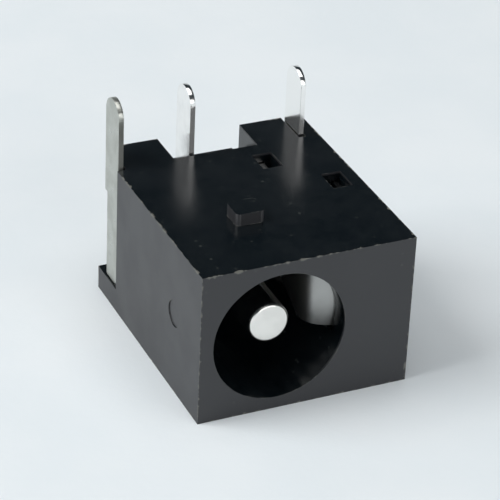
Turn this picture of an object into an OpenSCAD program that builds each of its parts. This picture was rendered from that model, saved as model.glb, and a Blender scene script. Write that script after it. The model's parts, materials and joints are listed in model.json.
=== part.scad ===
// Low-profile board jack for a 5.5 mm barrel plug, lying on its plain face with its three blades up.
// X runs across the mouth, Y from the mouth to the rear, Z from the plain face up to the board face.
// The origin is under the middle of the housing, on the plain face.

/* [Housing] */
// Width across the mouth
body_w = 10.5; // [10.2:0.1:12.6]
// Depth from the mouth to the rear
body_l = 12.6; // [12.1:0.1:15.7]
// Height from the plain face to the board face
body_h = 7.7; // [7.5:0.05:9.4]
// Plastic between the mouth and the spring chamber
front_wall = 1.05; // [0.85:0.05:1.35]
// Plastic beside the sleeve contact's blade
side_wall = 0.7; // [0.55:0.05:0.85]
// Plastic under the spring chamber
floor_wall = 1.4; // [1.3:0.05:1.55]
// Plastic over the spring chamber
roof_wall = 1.5; // [1.35:0.05:1.65]
// Plastic left outside the grooves that hold the blades
groove_skin = 0.45; // [0.35:0.05:0.6]
// Wall behind the bore that carries the centre pin
bulkhead = 1.85; // [1.7:0.05:2.3]

/* [Bore] */
// Diameter of the bore
bore_d = 6.5; // [6.3:0.05:6.7]
// Bore axis from the nearer side of the housing
bore_inset = 3.9; // [3.85:0.05:4.1]
// Plastic ring between the bore and the spring chamber
bore_ring = 0.45; // [0.35:0.05:0.6]
// Barrel diameter of the plug
plug_d = 5.5; // [5.3:0.05:5.6]

/* [Rear face] */
// Depth of the recess for the pin terminal's plate
recess_d = 0.8; // [0.7:0.05:0.95]
// Plastic under the plate
rest_wall = 1.2; // [1.05:0.05:1.35]
// Plastic between the plate and the break contact's strap
recess_lip = 0.2; // [0.15:0.05:0.4]
// Pocket edge beside the plate, from the bore axis
pocket_reach = 2.05; // [1.95:0.05:2.3]
// Thickness of the web behind the strap
web_t = 0.3; // [0.25:0.05:0.4]
// Height of the web above the notch's floor
web_rise = 0.35; // [0.3:0.01:0.5]
// Web's end, from the bore axis
web_reach = 2.95; // [2.7:0.05:3]
// How far the web lies in front of the rear face
web_set = 0.1; // [0.05:0.05:0.15]
// Notch beside the middle blade, from the bore axis
notch_reach = 0.95; // [0.65:0.05:1.25]
// Width of the cut in the side wall beside the sleeve blade
side_cut_w = 2; // [1.5:0.1:2.5]
// Depth of that cut
side_cut_l = 1.35; // [1.05:0.05:1.9]
// Corner radius at the foot of that cut
side_cut_r = 0.5; // [0.2:0.05:0.65]

/* [Wall windows] */
// Width of the two windows
window_w = 1; // [0.85:0.05:1.15]
// Length of the two windows
window_l = 1.4; // [1.2:0.05:1.65]
// How far each window starts in front of its blade
window_lead = 0.4; // [0.2:0.05:0.6]
// Sleeve window's middle, inward of its blade
sleeve_window_shift = 0.25; // [0.15:0.05:0.3]
// Break window's middle, inward of its blade
break_window_shift = 0.02; // [0:0.01:0.15]
// Width of the tongue in each window of the plain face
tongue_w = 0.25; // [0.2:0.01:0.3]
// Length of the tongues
tongue_l = 1.05; // [0.7:0.05:1.15]
// Tongue's middle, inward of its window's middle
tongue_shift = 0.18; // [0.1:0.01:0.2]

/* [Locating peg and moulding marks] */
// Width of the peg on the board face
peg_w = 1.4; // [1.05:0.05:1.7]
// Length of the peg
peg_l = 1.25; // [1:0.05:1.6]
// Height of the peg
peg_h = 0.6; // [0.3:0.05:0.85]
// Corner radius of the peg
peg_r = 0.2; // [0.1:0.05:0.4]
// Peg's middle from the mouth
peg_inset = 4.25; // [3.1:0.05:5.2]
// Diameter of the ejector marks
mark_d = 1.05; // [0.8:0.05:1.1]
// Depth of the marks
mark_depth = 0.05; // [0.03:0.01:0.08]
// Ejector marks from the sides of the housing
mark_inset = 1.8; // [1.4:0.05:2]
// Diameter of the gate mark on the side
gate_d = 1.3; // [1:0.05:1.6]
// Gate mark from the mouth
gate_inset = 3.05; // [2:0.05:4]
// Height of the gate mark above the bore axis
gate_rise = 0.25; // [0:0.05:0.5]

/* [Centre pin] */
// Diameter of the pin
pin_d = 2; // [1.9:0.05:2.1]
// Tip behind the mouth
pin_inset = 1.15; // [0.8:0.05:2]
// Rounding of the tip
pin_tip_r = 0.18; // [0.1:0.01:0.4]
// Diameter of the collar on the bore's floor
collar_d = 2.7; // [2.45:0.05:3]
// Thickness of the collar
collar_t = 0.4; // [0.3:0.05:0.6]
// Diameter of the tail through the wall
tail_d = 1.35; // [1.15:0.05:1.5]
// Diameter of the riveted head's foot
head_d = 3.05; // [2.9:0.05:3.2]
// Diameter of its upper tier
head_top_d = 2.96; // [2.7:0.02:3]
// Thickness of its foot
head_foot_t = 0.2; // [0.15:0.01:0.25]
// Depth of the groove between the two tiers
neck_in = 0.08; // [0.04:0.01:0.12]
// Height of that groove
neck_h = 0.06; // [0.04:0.01:0.08]
// Height of the head above the plate
head_h = 0.53; // [0.45:0.01:0.54]
// Edge rounding of the upper tier
head_r = 0.12; // [0.08:0.01:0.14]
// Diameter of the dish in the head
dish_d = 2.4; // [2.1:0.05:2.5]
// Diameter of the dish's floor
dish_floor_d = 1.95; // [1.9:0.05:2.05]
// Depth of the dish
dish_depth = 0.18; // [0.1:0.01:0.2]
// Diameter of each riveting dimple
dimple_d = 0.7; // [0.5:0.02:0.74]
// Depth of the dimples below the dish
dimple_depth = 0.1; // [0.05:0.01:0.14]

/* [Contacts] */
// Thickness of the contact sheet
sheet_t = 0.25; // [0.2:0.01:0.3]
// Inner radius of the tight bends
bend_r = 0.1; // [0.05:0.01:0.15]
// Width of the three blades
leg_w = 1.65; // [1.45:0.05:1.8]
// Height of the blades above the board face
leg_h = 3.3; // [2.6:0.1:4.2]
// Pin terminal's flange inside the side face
flange_inset = 0.1; // [0.05:0.01:0.14]
// Corner radius of the plate
plate_r = 0.4; // [0.2:0.05:0.6]
// Length of the sleeve contact's wide blade
sleeve_blade_l = 6.5; // [5.3:0.1:7.3]
// Length of the break contact's blade
break_blade_l = 3.7; // [3.4:0.05:4.1]
// How far the break contact's blade stands in front of its strap's rear edge
break_set = 1.1; // [0.9:0.05:1.3]
// Height of the tab under the strap's bend
tab_h = 0.3; // [0.2:0.05:0.5]
// Gap between the plug's barrel and the break contact
break_gap = 0.3; // [0.2:0.01:0.35]
// Width of the spring arm
arm_w = 2.7; // [2.3:0.1:2.9]
// Middle of the spring arm above the bore's axis
arm_rise = 0.45; // [0.2:0.05:0.5]
// Radius of the arm's bulge
bulge_r = 1; // [0.8:0.05:1.2]
// Slope of the arm's lead-in ramp
ramp_angle = 50; // [44:1:56]
// Radius of the fold at the front
fold_r = 0.8; // [0.6:0.05:0.9]
// Radius of the bend before the ramp
knee_r = 2.1; // [1.8:0.1:2.4]
// Radius of the bend that turns the arm along the break contact
heel_r = 1.5; // [1:0.1:2]
// How far the arm stands inside the plug's barrel
arm_bite = 0.65; // [0.4:0.05:0.75]
// Arm's free end in front of the rear face
arm_end_inset = 1.4; // [1.2:0.1:1.8]

/* [Fits] */
// Gap around a blade in its groove
groove_gap = 0.05; // [0.03:0.01:0.08]
// Gap around the plate and the strap
seat_gap = 0.05; // [0.03:0.01:0.08]
// Radial gap around the pin's tail
tail_gap = 0.02; // [0.01:0.01:0.04]
// Gap between the resting arm and the break contact
contact_gap = 0.02; // [0.01:0.01:0.05]
// Gap between the arm and the edges of its slot in the bore
arm_gap = 0.15; // [0.1:0.01:0.2]
// Gap between the fold and the front of the chamber
fold_gap = 0.15; // [0.1:0.01:0.25]
// Room in front of each blade's leg
leg_gap = 0.15; // [0.1:0.01:0.2]

/* [Hidden] */
$fn = 64;
// How far a cut runs past the face that it opens
past = 1;
// How far each flat of bent sheet reaches into its bends, so that they join
lap = 0.001;

x_left = -body_w / 2;
x_right = body_w / 2;
y_front = -body_l / 2;
y_rear = body_l / 2;
bore_x = x_left + bore_inset;
bore_z = body_h / 2;
bore_r = bore_d / 2;
plug_r = plug_d / 2;

// The rear recess, the wall in front of it and the bore's floor
recess_y = y_rear - recess_d;
floor_y = recess_y - bulkhead;
pocket_x = bore_x + pocket_reach;

// The spring chamber beside the bore, and the notch, whose floor is level with the chamber's roof
inner_x = x_right - side_wall;
chamber_y = y_front + front_wall;
roof_z = body_h - roof_wall;
recess_top = roof_z - recess_lip;
web_top = roof_z + web_rise;

// Middle planes and ends of the blades
sleeve_x = inner_x - groove_gap - sheet_t / 2;
break_x = bore_x + plug_r + break_gap + sheet_t / 2;
leg_rear = y_rear - web_t - seat_gap;
leg_front = leg_rear - leg_w;
leg_top = body_h + leg_h;
notch_y = leg_front - leg_gap;
sleeve_blade_y = leg_rear - sleeve_blade_l;
break_blade_y = leg_rear - break_blade_l;
groove_low = groove_skin;
groove_high = body_h - groove_skin;
blade_low = groove_low + groove_gap;
blade_high = groove_high - groove_gap;
slot_half = sheet_t / 2 + groove_gap;

// The pin terminal: plate on the recess's floor, flange along the side, leg on the flange
plate_rear = recess_y + sheet_t;
bend_out = bend_r + sheet_t;
flange_x = x_left + flange_inset + sheet_t / 2;
flange_rear = plate_rear - bend_out;
flange_front = plate_rear - leg_w;
side_x = x_left + flange_inset + bend_out;

// The spring arm: its bulge's centre, the straight run from there, and the tail beside the break contact
arm_z = bore_z + arm_rise;
fold_y = chamber_y + fold_gap + sheet_t / 2;
bulge_x = bore_x + plug_r - arm_bite + sheet_t / 2 + bulge_r;
ramp_x = bulge_x - bulge_r * cos(ramp_angle);
ramp_y = fold_y + knee_r * (1 - sin(ramp_angle));
bulge_y = ramp_y + bulge_r * sin(ramp_angle);
knee_x = ramp_x + knee_r * cos(ramp_angle);
tail_x = break_x + sheet_t + contact_gap;
heel_y = break_blade_y - leg_gap;
span_dx = tail_x - bulge_x - heel_r;
span_dy = heel_y - bulge_y;
span_l = sqrt(span_dx * span_dx + span_dy * span_dy - (bulge_r + heel_r) * (bulge_r + heel_r));
rest_angle = 90 + atan2(bulge_r + heel_r, span_l) - atan2(span_dy, span_dx);

module box(low, high) {
    translate(low) cube(high - low);
}

// A cylinder along Y that starts at y and runs towards the rear
module along_y(x, y, z, r, length) {
    translate([x, y, z]) rotate([-90, 0, 0]) cylinder(r = r, h = length);
}

// ---- Housing ----

module bore() {
    along_y(bore_x, y_front - past, bore_z, bore_r, floor_y - y_front + past);
    along_y(bore_x, floor_y - past, bore_z, tail_d / 2 + tail_gap, bulkhead + 2 * past);
}

// The chamber goes round the bore's ring, opens into the bore along the arm, and is open at the rear,
// where a pocket runs on from it to the plate
module spring_chamber() {
    difference() {
        box([bore_x, chamber_y, floor_wall], [inner_x, floor_y, roof_z]);
        along_y(bore_x, y_front, bore_z, bore_r + bore_ring, body_l);
    }
    box([bore_x + bore_r / 2, chamber_y, arm_z - arm_w / 2 - arm_gap],
        [inner_x, floor_y, arm_z + arm_w / 2 + arm_gap]);
    box([break_x - slot_half, floor_y - past, floor_wall], [inner_x, y_rear + past, roof_z]);
    box([bore_x + web_reach, notch_y, floor_wall], [inner_x, y_rear + past, roof_z]);
    box([pocket_x, notch_y, floor_wall], [inner_x, y_rear + past, recess_top]);
}

// Grooves for the edges of a blade, open at the rear
module blade_groove(x, y) {
    box([x - slot_half, y - groove_gap, groove_low], [x + slot_half, y_rear + past, groove_high]);
}

module sleeve_leg_slot() {
    box([sleeve_x - slot_half, notch_y, roof_z], [sleeve_x + slot_half, y_rear + past, body_h + past]);
}

// A window through the wall, from the outer face to the chamber
module window(x, y, low, high) {
    box([x - window_w / 2, y - window_lead, low], [x + window_w / 2, y - window_lead + window_l, high]);
}

module window_pair(x, y) {
    window(x, y, roof_z, body_h + past);
    difference() {
        window(x, y, -past, floor_wall);
        box([x - tongue_shift - tongue_w / 2, y - window_lead + window_l - tongue_l, 0],
            [x - tongue_shift + tongue_w / 2, y + window_l, groove_low]);
    }
}

// The recess takes the plate, and the cut in the side wall takes its flange and leg
module plate_recess() {
    box([x_left - past, recess_y, rest_wall], [pocket_x, y_rear + past, recess_top]);
    box([x_left - past, flange_front - leg_gap, rest_wall], [side_x, y_rear + past, body_h + past]);
    box([side_x - past, y_rear - web_set, recess_top - past], [bore_x + web_reach, y_rear + past, web_top]);
}

module leg_notch() {
    left = bore_x - notch_reach;
    right = break_x + slot_half;
    box([left, notch_y, roof_z], [right, y_rear - web_t, body_h + past]);
    box([left, notch_y, web_top], [right, y_rear + past, body_h + past]);
    box([bore_x + web_reach, notch_y, roof_z], [right, y_rear + past, body_h + past]);
}

// The cut in the side wall, with a rounded foot
module side_cut() {
    foot_y = y_rear - side_cut_l;
    translate([inner_x, 0, bore_z]) {
        box([-side_wall, foot_y + side_cut_r, -side_cut_w / 2],
            [side_wall + past, y_rear + past, side_cut_w / 2]);
        box([-side_wall, foot_y, side_cut_r - side_cut_w / 2],
            [side_wall + past, y_rear, side_cut_w / 2 - side_cut_r]);
        for (side = [-1, 1])
            translate([-side_wall, foot_y + side_cut_r, side * (side_cut_w / 2 - side_cut_r)])
                rotate([0, 90, 0]) cylinder(r = side_cut_r, h = 2 * side_wall + past);
    }
}

module locating_peg() {
    dx = peg_w / 2 - peg_r;
    dy = peg_l / 2 - peg_r;
    translate([bore_x, y_front + peg_inset, body_h - past]) linear_extrude(past + peg_h) {
        square([peg_w, 2 * dy], center = true);
        square([2 * dx, peg_l], center = true);
        for (x = [-dx, dx], y = [-dy, dy])
            translate([x, y]) circle(peg_r);
    }
}

// Shallow round marks of the ejector pins on the rear face, and of the gate on the side
module moulding_marks() {
    r = mark_d / 2;
    blocks_z = (roof_z + web_rise + body_h) / 2;
    for (x = [x_left + mark_inset, (break_x + slot_half + sleeve_x - slot_half) / 2])
        along_y(x, y_rear - mark_depth, blocks_z, r, past);
    for (x = [x_left + mark_inset, x_right - mark_inset])
        along_y(x, y_rear - mark_depth, rest_wall / 2, r, past);
    translate([x_left - past, y_front + gate_inset, bore_z + gate_rise])
        rotate([0, 90, 0]) cylinder(r = gate_d / 2, h = past + mark_depth);
}

module housing() {
    color([0.07, 0.07, 0.075]) difference() {
        union() {
            box([x_left, y_front, 0], [x_right, y_rear, body_h]);
            locating_peg();
        }
        bore();
        spring_chamber();
        blade_groove(sleeve_x, sleeve_blade_y);
        blade_groove(break_x, break_blade_y);
        sleeve_leg_slot();
        window_pair(sleeve_x - sleeve_window_shift, sleeve_blade_y);
        window_pair(break_x - break_window_shift, break_blade_y);
        plate_recess();
        leg_notch();
        side_cut();
        moulding_marks();
    }
}

// ---- Centre pin ----

// Turned pin: rounded tip, shank, collar on the bore's floor, tail, and the riveted head
module pin_profile() {
    tip_y = y_front + pin_inset;
    r = pin_d / 2;
    translate([0, tip_y]) square([r - pin_tip_r, pin_tip_r]);
    intersection() {
        translate([r - pin_tip_r, tip_y + pin_tip_r]) circle(pin_tip_r);
        translate([0, tip_y]) square([r, 2 * pin_tip_r]);
    }
    translate([0, tip_y + pin_tip_r]) square([r, floor_y - tip_y - pin_tip_r]);
    translate([0, floor_y - collar_t]) square([collar_d / 2, collar_t]);
    translate([0, floor_y - collar_t]) square([tail_d / 2, plate_rear + head_foot_t - floor_y + collar_t]);
}

module head_profile() {
    top_r = head_top_d / 2;
    groove_top = head_foot_t + neck_h;
    square([head_d / 2, head_foot_t]);
    square([top_r - neck_in, head_h]);
    square([top_r - head_r, head_h]);
    translate([0, groove_top]) square([top_r, head_h - head_r - groove_top]);
    translate([top_r - head_r, head_h - head_r]) circle(head_r);
}

module centre_pin() {
    color([0.8, 0.8, 0.78]) {
        translate([bore_x, 0, bore_z]) rotate([-90, 0, 0]) {
            rotate_extrude() pin_profile();
            translate([0, 0, plate_rear]) difference() {
                rotate_extrude() head_profile();
                translate([0, 0, head_h - dish_depth]) cylinder(d1 = dish_floor_d, d2 = dish_d, h = dish_depth);
                translate([0, 0, head_h]) cylinder(d = dish_d, h = past);
                for (turn = [30, 150, 270])
                    rotate(turn) translate([dimple_d * 0.62, 0, head_h - dish_depth - dimple_depth])
                        cylinder(d = dimple_d, h = past);
            }
        }
    }
}

// ---- Contacts ----

// A blade's leg that stands up from z to the common height, with a full round tip
module leg(x, y, z) {
    tip_r = leg_w / 2;
    box([x - sheet_t / 2, y, z], [x + sheet_t / 2, y + leg_w, leg_top - tip_r]);
    translate([x - sheet_t / 2, y + tip_r, leg_top - tip_r])
        rotate([0, 90, 0]) cylinder(r = tip_r, h = sheet_t);
}

// A quarter bend of the sheet about an axis along Y or Z, from angle turn
module quarter_bend(turn, length) {
    rotate(turn) rotate_extrude(angle = 90) translate([bend_r, 0]) square([sheet_t, length]);
}

module pin_terminal() {
    plate_right = pocket_x - seat_gap;
    low = rest_wall + seat_gap;
    high = recess_top - seat_gap;
    color([0.62, 0.63, 0.6]) {
        difference() {
            union() {
                box([side_x - lap, recess_y, low], [plate_right - plate_r, plate_rear, high]);
                box([plate_right - plate_r, recess_y, low + plate_r], [plate_right, plate_rear, high]);
                along_y(plate_right - plate_r, recess_y, low + plate_r, plate_r, sheet_t);
            }
            along_y(bore_x, recess_y - past, bore_z, tail_d / 2 + tail_gap, 2 * past);
        }
        translate([side_x, flange_rear, low]) quarter_bend(90, high - low);
        box([flange_x - sheet_t / 2, flange_front, low], [flange_x + sheet_t / 2, flange_rear + lap, high]);
        leg(flange_x, flange_front, high - leg_gap);
    }
}

// The strip lies along local X, its width along Z. Each run and bend carries what follows it.
module run(length) {
    translate([-lap, -sheet_t / 2, -arm_w / 2]) cube([length + 2 * lap, sheet_t, arm_w]);
    translate([length, 0, 0]) children();
}

module bend(r, angle) {
    translate([0, -r, 0]) {
        rotate(90 - angle) rotate_extrude(angle = angle)
            translate([r - sheet_t / 2, -arm_w / 2]) square([sheet_t, arm_w]);
        rotate(-angle) translate([0, r, 0]) children();
    }
}

// The fixed blade runs forward along the side wall, folds back at the front, bulges into the bore
// and turns to lie along the break contact
module sleeve_spring() {
    color([0.78, 0.78, 0.75]) {
        box([sleeve_x - sheet_t / 2, sleeve_blade_y, blade_low],
            [sleeve_x + sheet_t / 2, leg_rear, blade_high]);
        leg(sleeve_x, leg_front, blade_high - leg_gap);
        translate([sleeve_x, sleeve_blade_y, arm_z]) rotate(-90)
            run(sleeve_blade_y - fold_y - fold_r) bend(fold_r, 90)
            run(sleeve_x - fold_r - knee_x) bend(knee_r, 90 - ramp_angle)
            bend(bulge_r, ramp_angle + rest_angle) run(span_l)
            mirror([0, 1, 0]) bend(heel_r, rest_angle) run(y_rear - arm_end_inset - heel_y);
    }
}

// The blade stands in its grooves, and a strap over the notch's floor carries the middle leg
module break_contact() {
    strap_left = bore_x + sheet_t / 2 + bend_r;
    strap_right = break_x - sheet_t / 2 - bend_r;
    strap_top = roof_z + sheet_t;
    bend_z = roof_z - bend_r;
    color([0.78, 0.78, 0.75]) {
        box([break_x - sheet_t / 2, break_blade_y, blade_low],
            [break_x + sheet_t / 2, leg_rear - break_set, bend_z]);
        box([break_x - sheet_t / 2, break_blade_y, bend_z - tab_h],
            [break_x + sheet_t / 2, notch_y - leg_gap, blade_high]);
        box([break_x - sheet_t / 2, leg_front, bend_z - tab_h],
            [break_x + sheet_t / 2, leg_rear, bend_z + lap]);
        translate([strap_right, leg_rear, bend_z]) rotate([90, 0, 0]) quarter_bend(0, leg_w);
        box([strap_left - lap, leg_front, roof_z], [strap_right + lap, leg_rear, strap_top]);
        translate([strap_left, leg_rear, strap_top + bend_r]) rotate([90, 0, 0]) quarter_bend(180, leg_w);
        leg(bore_x, leg_front, strap_top + bend_r - lap);
    }
}

housing();
centre_pin();
pin_terminal();
sleeve_spring();
break_contact();
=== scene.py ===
"""The looks of the barrel jack: finishes, scuffed edges with a painted highlight, a pale sheet to stand
on, and soft studio light.

Lengths are in metres, as in the frame, unless a name or a comment says millimetres.
"""
import json
import math

import bpy
from mathutils import Matrix, Vector


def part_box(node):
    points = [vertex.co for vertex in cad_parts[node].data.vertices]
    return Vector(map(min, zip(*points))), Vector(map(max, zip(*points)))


MM = 0.001

# Colours are linear
SMOOTH_BLACK = (0.0016, 0.0034, 0.005, 1)
CLOUDED_BLACK = (0.0038, 0.006, 0.0075, 1)
# Partly the rougher outer finish, partly painted light: the outer side faces are painted this lighter
# grey for the light they catch
MATT_AND_LIT_GREY = (0.021, 0.0215, 0.0245, 1)
FLECK = (0.055, 0.06, 0.055, 1)
# Partly real scuffs, partly a painted highlight: this lighter colour along the edges stands in for the
# light that rounded edges catch
SCUFF_AND_HIGHLIGHT = (0.15, 0.148, 0.13, 1)
BRIGHT_PLATE = (0.95, 0.945, 0.93, 1)
SHADED_PLATE = (0.42, 0.42, 0.41, 1)
TURNED_PLATE = (0.9, 0.88, 0.84, 1)
DULL_PLATE = (0.5, 0.51, 0.47, 1)
SHEET_DARKER = (0.735, 0.785, 0.81, 1)
SHEET_LIGHTER = (0.77, 0.81, 0.83, 1)
PALE_HORIZON = (0.7, 0.75, 0.78, 1)
DARK_SKY = (0.02, 0.028, 0.035, 1)

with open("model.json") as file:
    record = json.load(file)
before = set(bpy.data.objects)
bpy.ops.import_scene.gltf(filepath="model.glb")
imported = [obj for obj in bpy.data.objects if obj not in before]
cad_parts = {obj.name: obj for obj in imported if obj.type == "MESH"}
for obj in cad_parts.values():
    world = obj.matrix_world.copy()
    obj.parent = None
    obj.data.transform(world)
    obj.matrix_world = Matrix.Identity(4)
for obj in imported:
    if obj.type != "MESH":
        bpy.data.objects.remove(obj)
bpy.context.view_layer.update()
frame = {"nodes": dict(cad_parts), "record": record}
nodes = frame["nodes"]
mounts = {mount["name"]: mount for mount in frame["record"]["mounts"]}


# ---- Camera ----


def make_camera():
    """The photograph's station point and roll, with a longer lens that fills the frame."""
    station = Vector((-42.396, -90.237, 63.966)) * MM
    target = Vector((-0.37, -0.63, 4.99)) * MM
    down = Vector((-0.17722, -0.48687, -0.85531))
    ahead = (target - station).normalized()
    right = down.cross(ahead).normalized()
    up = right.cross(ahead).normalized()
    data = bpy.data.cameras.new("camera")
    data.sensor_width = 36
    data.lens = 178
    data.clip_start = 0.005
    data.clip_end = 10
    camera = bpy.data.objects.new("camera", data)
    turn = Matrix((right, up, -ahead)).transposed().to_4x4()
    camera.matrix_world = Matrix.Translation(station) @ turn
    bpy.context.scene.collection.objects.link(camera)
    bpy.context.scene.camera = camera


# ---- Node trees ----


class Tree:
    """Short names for the node types that the materials here share. Their lengths are millimetres."""

    def __init__(self, name):
        self.material = bpy.data.materials.new(name)
        self.material.use_nodes = True
        self.nodes = self.material.node_tree.nodes
        self.links = self.material.node_tree.links
        self.shader = self.nodes["Principled BSDF"]

    def add(self, kind, **settings):
        made = self.nodes.new(kind)
        for key, value in settings.items():
            setattr(made, key, value)
        return made

    def feed(self, target, value):
        """A constant or another node's output into a socket."""
        if isinstance(value, bpy.types.NodeSocket):
            self.links.new(value, target)
        else:
            target.default_value = value

    def put(self, name, value):
        self.feed(self.shader.inputs[name], value)

    def place(self, scale=(1, 1, 1)):
        """The piece's own coordinates, scale of them to the millimetre along each axis."""
        coordinates = self.add("ShaderNodeTexCoord")
        mapping = self.add("ShaderNodeMapping")
        mapping.inputs["Scale"].default_value = [s / MM for s in scale]
        self.links.new(coordinates.outputs["Object"], mapping.inputs["Vector"])
        return mapping.outputs["Vector"]

    def axes(self, vector):
        """X, Y and Z of a vector."""
        split = self.add("ShaderNodeSeparateXYZ")
        self.links.new(vector, split.inputs[0])
        return split.outputs

    def noise(self, scale, detail=3.0, roughness=0.5, stretch=(1, 1, 1)):
        """Noise with features of about 1 / scale."""
        made = self.add("ShaderNodeTexNoise")
        self.links.new(self.place([scale * s for s in stretch]), made.inputs["Vector"])
        made.inputs["Scale"].default_value = 1
        made.inputs["Detail"].default_value = detail
        made.inputs["Roughness"].default_value = roughness
        return made.outputs["Fac"]

    def map(self, value, low, high, to_low=0.0, to_high=1.0):
        made = self.add("ShaderNodeMapRange", interpolation_type="SMOOTHSTEP")
        for name, given in (("Value", value), ("From Min", low), ("From Max", high),
                            ("To Min", to_low), ("To Max", to_high)):
            self.feed(made.inputs[name], given)
        return made.outputs["Result"]

    def math(self, operation, first, second=0.0):
        made = self.add("ShaderNodeMath", operation=operation)
        self.feed(made.inputs[0], first)
        self.feed(made.inputs[1], second)
        return made.outputs[0]

    def mix(self, share, first, second):
        made = self.add("ShaderNodeMix", data_type="RGBA")
        self.feed(made.inputs["Factor"], share)
        self.feed(made.inputs["A"], first)
        self.feed(made.inputs["B"], second)
        return made.outputs["Result"]

    def bump(self, height, distance, strength):
        made = self.add("ShaderNodeBump")
        made.inputs["Strength"].default_value = strength
        made.inputs["Distance"].default_value = distance * MM
        self.links.new(height, made.inputs["Height"])
        return made.outputs["Normal"]

    def true_normal(self):
        return self.add("ShaderNodeNewGeometry").outputs["True Normal"]

    def edge(self, radius, low, high):
        """1 on edges: how far a rounded normal departs from the true one."""
        rounded = self.add("ShaderNodeBevel", samples=6)
        rounded.inputs["Radius"].default_value = radius * MM
        dot = self.add("ShaderNodeVectorMath", operation="DOT_PRODUCT")
        self.links.new(rounded.outputs["Normal"], dot.inputs[0])
        self.links.new(self.true_normal(), dot.inputs[1])
        return self.map(self.math("SUBTRACT", 1.0, dot.outputs["Value"]), low, high)

    def depth(self, value, low, high):
        """How far a coordinate lies inside the nearer of two limits."""
        off_middle = self.math("ABSOLUTE", self.math("SUBTRACT", value, (low + high) / 2))
        return self.math("SUBTRACT", (high - low) / 2, off_middle)

    def depths(self, lowest, highest):
        """Depth under a box's nearest face and under the second nearest, which is 0 along an edge."""
        x, y, z = (self.depth(*limits) for limits in zip(self.axes(self.place()), lowest, highest))
        less, more = self.math("MINIMUM", x, y), self.math("MAXIMUM", x, y)
        nearest = self.math("MINIMUM", less, z)
        second = self.math("MAXIMUM", less, self.math("MINIMUM", more, z))
        return nearest, second

    def specks(self, density, radius, share):
        """1 in small round specks, density of them along a millimetre, of which that share show."""
        cells = self.add("ShaderNodeTexVoronoi")
        self.links.new(self.place((density, density, density)), cells.inputs["Vector"])
        cells.inputs["Scale"].default_value = 1
        chance = self.add("ShaderNodeSeparateColor")
        self.links.new(cells.outputs["Color"], chance.inputs[0])
        reach = radius * density
        size = self.map(chance.outputs["Red"], 1 - share, 1, 0, reach)
        return self.map(self.math("SUBTRACT", size, cells.outputs["Distance"]), 0, reach / 2)


# ---- Materials ----


def moulding_material():
    """Black moulding: smooth and near black on the board face and in cavities, rougher outside, where the
    side faces are also painted a lighter grey as painted light; edges scuffed and painted with a
    highlight.
    """
    tree = Tree("black_moulding")
    lowest, highest = ([c / MM for c in corner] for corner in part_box("housing"))
    highest[2] = mounts["pcb_face"]["pos_m"][2] / MM
    depth, from_edge = tree.depths(lowest, highest)
    board_face = tree.map(tree.axes(tree.true_normal())["Z"], 0.5, 0.9)
    outside = tree.map(depth, 0.15, 0.05)
    matt_and_lit = tree.math("MULTIPLY", outside, tree.math("SUBTRACT", 1, board_face))

    grain = tree.noise(13, detail=4, roughness=0.6)
    cloud = tree.noise(0.45, detail=3)
    patch = tree.noise(1.9, detail=5, roughness=0.65)
    # Edges are lightened in patches, partly as real scuffs and partly as a painted highlight along them
    scuff_highlight_width = tree.map(patch, 0.4, 0.72, -0.03, 0.13)
    scuff_and_highlight_band = tree.map(tree.math("SUBTRACT", scuff_highlight_width, from_edge), -0.02, 0.03)
    nick_and_highlight = tree.math("MULTIPLY", tree.edge(0.06, 0.03, 0.12), tree.map(patch, 0.46, 0.66))
    wear_and_highlight = tree.math("MAXIMUM", scuff_and_highlight_band, nick_and_highlight)
    fleck_strength = tree.map(cloud, 0.4, 0.6, 0.25, 1)
    flecks = tree.math("MULTIPLY", tree.specks(density=2.6, radius=0.1, share=0.5), fleck_strength)

    colour = tree.mix(tree.map(patch, 0.35, 0.65), SMOOTH_BLACK, CLOUDED_BLACK)
    # Painted light: outer side faces other than the board face take a lighter grey, which leaves the top
    # and the cavities darker
    colour = tree.mix(matt_and_lit, colour, MATT_AND_LIT_GREY)
    colour = tree.mix(tree.math("MULTIPLY", flecks, 0.5), colour, FLECK)
    tree.put("Base Color", tree.mix(tree.math("MULTIPLY", wear_and_highlight, 0.8), colour, SCUFF_AND_HIGHLIGHT))
    roughness = tree.map(cloud, 0.3, 0.7, 0.19, 0.25)
    for mask, rougher in ((matt_and_lit, 0.22), (wear_and_highlight, 0.2)):
        roughness = tree.math("ADD", roughness, tree.math("MULTIPLY", mask, rougher))
    tree.put("Roughness", roughness)
    tree.put("IOR", 1.56)
    tree.put("Normal", tree.bump(grain, 0.005, 0.4))
    return tree.material


def plated_material(name, colour, roughness, stretch=(1, 1, 1)):
    """Plate with a faint cloud, and fine scratches that are shorter where stretch is larger."""
    tree = Tree(name)
    cloud = tree.noise(1.3)
    darker = [c * 0.92 for c in colour[:3]] + [1]
    tree.put("Base Color", tree.mix(tree.map(cloud, 0.35, 0.7), colour, darker))
    tree.put("Metallic", 1.0)
    tree.put("Roughness", tree.map(cloud, 0.3, 0.7, roughness * 0.8, roughness * 1.35))
    tree.put("Normal", tree.bump(tree.noise(5, stretch=stretch), 0.004, 0.4))
    return tree.material


def spring_material():
    """Bright plate on the blade; the arm, inward of the blade in the bore, is rougher and painted darker
    as painted shade.
    """
    tree = Tree("spring_plate")
    blade_x = mounts["sleeve_tail"]["pos_m"][0] / MM
    arm = tree.map(tree.axes(tree.place())["X"], blade_x - 0.475, blade_x - 0.775)
    # Painted shade: the arm in the bore takes a darker copy of the plate
    tree.put("Base Color", tree.mix(arm, BRIGHT_PLATE, SHADED_PLATE))
    tree.put("Metallic", 1.0)
    roughness = tree.map(tree.noise(1.3), 0.3, 0.7, 0.13, 0.2)
    tree.put("Roughness", tree.math("ADD", roughness, tree.math("MULTIPLY", arm, 0.22)))
    tree.put("Normal", tree.bump(tree.noise(5), 0.004, 0.4))
    return tree.material


def set_material(piece, material):
    piece.data.materials.clear()
    piece.data.materials.append(material)


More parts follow.
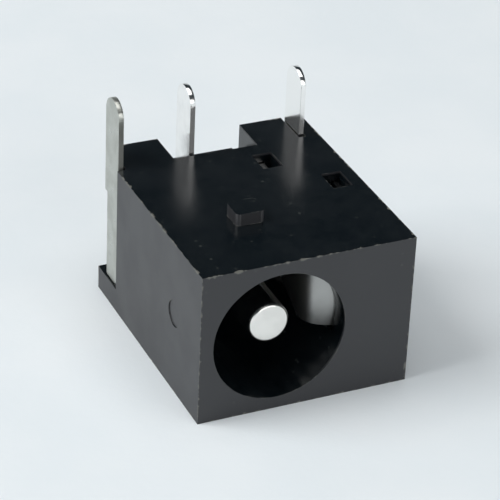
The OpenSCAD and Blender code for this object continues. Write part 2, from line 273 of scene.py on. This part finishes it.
def soften(piece, width):
    """Rounds the edges of a CAD node by a few hundredths of a millimetre."""
    weld = piece.modifiers.new("weld", "WELD")
    weld.merge_threshold = 1e-6
    bevel = piece.modifiers.new("edges", "BEVEL")
    bevel.width = width * MM
    bevel.segments = 2
    bevel.limit_method = "ANGLE"
    bevel.angle_limit = math.radians(35)
    bevel.harden_normals = True


def finish_nodes():
    # Material and width of the rounded edges in millimetres
    finishes = {
        "housing": (moulding_material(), 0.05),
        "centre_pin": (plated_material("turned_plate", TURNED_PLATE, 0.18, (0.3, 6, 6)), 0.02),
        "pin_terminal": (plated_material("dull_plate", DULL_PLATE, 0.34), 0.025),
        "sleeve_spring": (spring_material(), 0.025),
        "break_contact": (plated_material("bright_plate", BRIGHT_PLATE, 0.17, (1, 1, 0.1)), 0.025),
    }
    for name, piece in nodes.items():
        material, edge_width = finishes[name]
        set_material(piece, material)
        soften(piece, edge_width)


# ---- Floor, world and lights ----


def make_floor():
    """A wide sheet of pale paper, a little mottled."""
    half = 3.0
    corners = [(-half, -half, 0), (half, -half, 0), (half, half, 0), (-half, half, 0)]
    data = bpy.data.meshes.new("floor")
    data.from_pydata(corners, [], [(0, 1, 2, 3)])
    floor = bpy.data.objects.new("floor", data)
    bpy.context.scene.collection.objects.link(floor)
    tree = Tree("pale_sheet")
    mottle = tree.map(tree.noise(0.12, detail=4), 0.3, 0.7)
    tree.put("Base Color", tree.mix(mottle, SHEET_DARKER, SHEET_LIGHTER))
    tree.put("Roughness", 0.6)
    tree.put("IOR", 1.4)
    tree.put("Normal", tree.bump(tree.noise(1.6, detail=5, roughness=0.6), 0.04, 0.35))
    set_material(floor, tree.material)


def make_world():
    """Pale near the horizon and dark above, so that the upper faces reflect little."""
    world = bpy.data.worlds.new("studio")
    bpy.context.scene.world = world
    world.use_nodes = True
    links = world.node_tree.links
    add = world.node_tree.nodes.new
    coordinates = add("ShaderNodeTexCoord")
    split = add("ShaderNodeSeparateXYZ")
    ramp = add("ShaderNodeValToRGB")
    links.new(coordinates.outputs["Generated"], split.inputs[0])
    links.new(split.outputs["Z"], ramp.inputs["Fac"])
    links.new(ramp.outputs["Color"], world.node_tree.nodes["Background"].inputs["Color"])
    stops = ((0.16, PALE_HORIZON), (0.38, DARK_SKY))
    for element, (height, colour) in zip(ramp.color_ramp.elements, stops):
        element.position = height
        element.color = colour


def area_light(name, place, size, power):
    """A softbox aimed at the jack, which the camera doesn't see."""
    data = bpy.data.lights.new(name, "AREA")
    data.shape = "RECTANGLE"
    data.size, data.size_y = size
    data.energy = power
    light = bpy.data.objects.new(name, data)
    light.location = place
    light.rotation_euler = (-Vector(place)).to_track_quat("-Z", "Y").to_euler()
    light.visible_camera = False
    bpy.context.scene.collection.objects.link(light)


make_camera()
finish_nodes()
make_floor()
make_world()
area_light("key", (-0.42, 0.10, 0.42), (0.40, 0.40), 3.0)
area_light("top", (0.02, -0.08, 0.62), (0.55, 0.55), 2.0)
area_light("front", (0.16, -0.62, 0.22), (0.6, 0.3), 1.0)
area_light("back", (-0.26, 0.55, 0.38), (0.3, 0.3), 0.16)
bpy.context.scene.view_settings.view_transform = "Standard"
